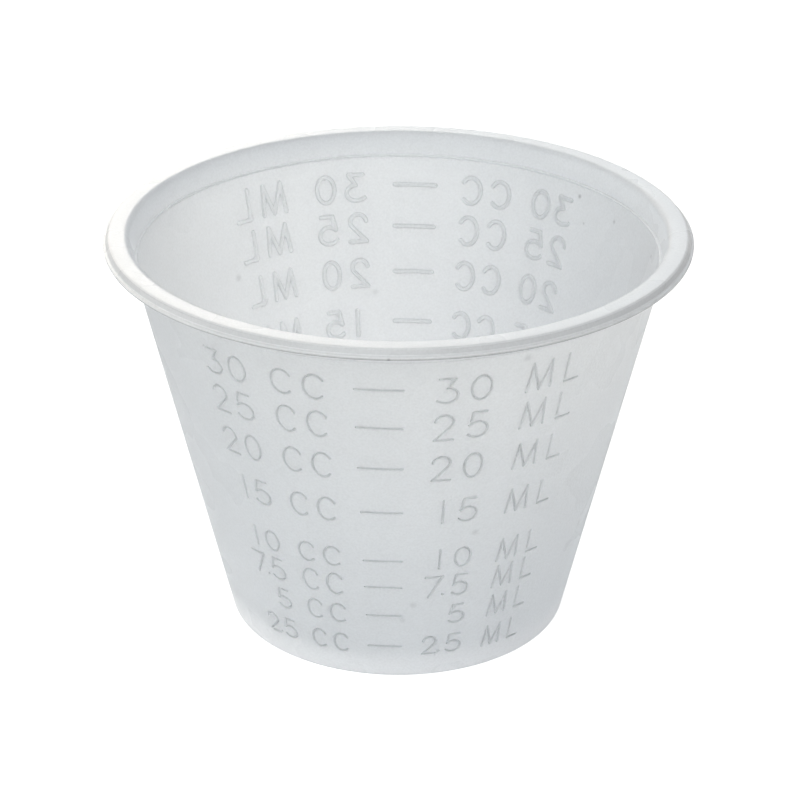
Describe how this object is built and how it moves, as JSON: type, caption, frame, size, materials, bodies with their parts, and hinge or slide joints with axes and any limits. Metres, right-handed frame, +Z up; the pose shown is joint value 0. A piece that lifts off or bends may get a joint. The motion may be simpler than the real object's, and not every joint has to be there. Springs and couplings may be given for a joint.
{
  "type": "medicine cup",
  "caption": "Small tapered, frosted plastic medicine cup with a flat turned-over rim and embossed volume marks on two opposite sides.",
  "frame": {"origin": "centre of the foot, on the surface the cup stands on", "axes": "+Z up along the cup's axis; the two columns of volume marks face -Y and +Y"},
  "size_m": [0.049, 0.049, 0.0348],
  "materials": {
    "frosted_plastic": "frosted, translucent polypropylene"
  },
  "bodies": {
    "root": {"cup": "frosted_plastic"}
  },
  "joints": []
}
